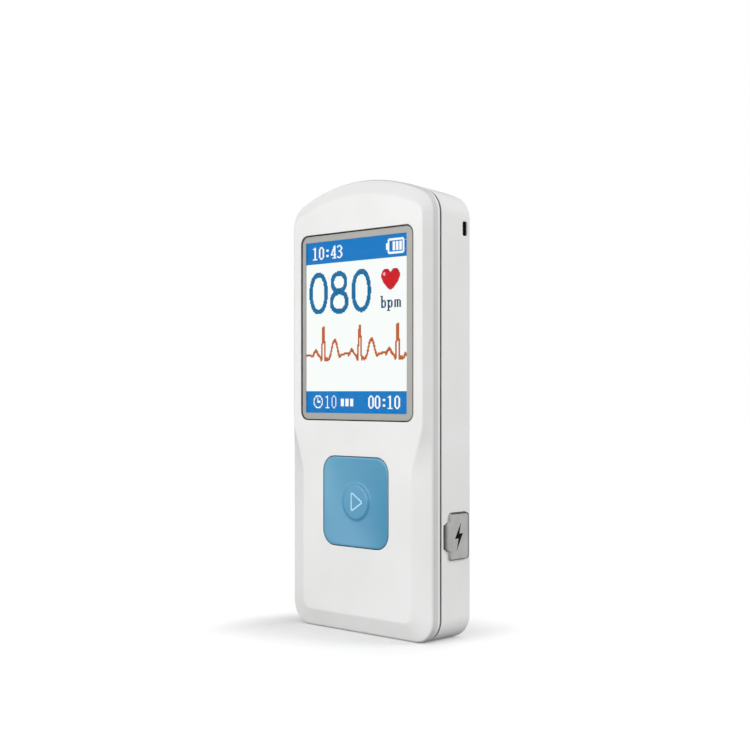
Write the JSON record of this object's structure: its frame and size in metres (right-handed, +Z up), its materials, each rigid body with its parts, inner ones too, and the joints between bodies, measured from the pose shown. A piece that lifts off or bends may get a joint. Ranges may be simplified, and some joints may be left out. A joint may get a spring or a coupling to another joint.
{
  "type": "ecg monitor",
  "caption": "Slim upright hand-held ECG monitor with a colour display, a square dished measure button, a covered side port and a corner lanyard eye.",
  "frame": {"origin": "middle of the flat base that it stands on", "axes": "+Z up along the body, the display faces -Y, +X is its right side as seen from the front"},
  "size_m": [0.0436, 0.0144, 0.1],
  "materials": {
    "white_abs": "fine satin moulded white",
    "warm_grey_print": "warm grey printed film",
    "clear_glass": "clear hard-coated cover glass",
    "black_foam": "black adhesive foam",
    "lcd_glass": "display glass with its polariser",
    "white_tray": "white moulded tray",
    "amber_flex": "amber polyimide ribbon",
    "blue_key": "satin blue key",
    "black_plastic": "black moulded",
    "bright_steel": "plated sheet",
    "green_board": "green solder mask",
    "chip_epoxy": "black epoxy package",
    "cream_plastic": "cream nylon",
    "ceramic_chips": "small fired ceramic parts",
    "grey_tpu": "soft grey rubber",
    "foil_pouch": "laminated foil pouch",
    "lead_insulation": "soft wire insulation",
    "electrode_steel": "finely brushed stainless",
    "gold_pins": "gold plated"
  },
  "bodies": {
    "housing": {"front_shell": "white_abs", "back_shell": "white_abs", "window_border": "warm_grey_print", "display_window": "clear_glass", "window_tape": "black_foam", "lcd_panel": "lcd_glass", "lcd_backlight": "white_tray", "lcd_tape": "black_foam", "lcd_flex": "amber_flex", "switch_body": "black_plastic", "switch_plate": "bright_steel", "switch_dome": "bright_steel", "main_board": "green_board", "processor": "chip_epoxy", "memory_chip": "chip_epoxy", "ecg_amplifier": "chip_epoxy", "charger_chip": "chip_epoxy", "crystal": "bright_steel", "buzzer": "black_plastic", "flex_connector": "cream_plastic", "small_board_parts": "ceramic_chips", "usb_socket": "bright_steel", "usb_tongue": "black_plastic", "usb_cover_strap": "grey_tpu", "battery_cell": "foil_pouch", "battery_tape": "black_foam", "battery_connector": "cream_plastic", "battery_leads": "lead_insulation", "upper_electrode": "electrode_steel", "lower_electrode": "electrode_steel", "contact_pins": "gold_pins"},
    "button": {"measure_button": "blue_key"},
    "plunger": {"switch_plunger": "black_plastic"},
    "port_cover": {"usb_cover": "grey_tpu"}
  },
  "joints": [
    {"name": "button_press", "type": "slide", "parent": "housing", "child": "button", "axis": [0, 1, 0], "range_m": [0, 0.0004], "stiffness_N_per_m": 4000},
    {"name": "plunger_press", "type": "slide", "parent": "housing", "child": "plunger", "axis": [0, 1, 0], "range_m": [0, 0.0004]},
    {"name": "cover_bend", "type": "hinge", "parent": "housing", "child": "port_cover", "pos_m": [0.0221, -0.00075, 0.02255], "axis": [0, 0, -1], "range_deg": [0, 110], "stiffness_Nm_per_rad": 0.0004}
  ],
  "couplings": [
    {"joint": "plunger_press", "follows": "button_press", "ratio": 1}
  ]
}
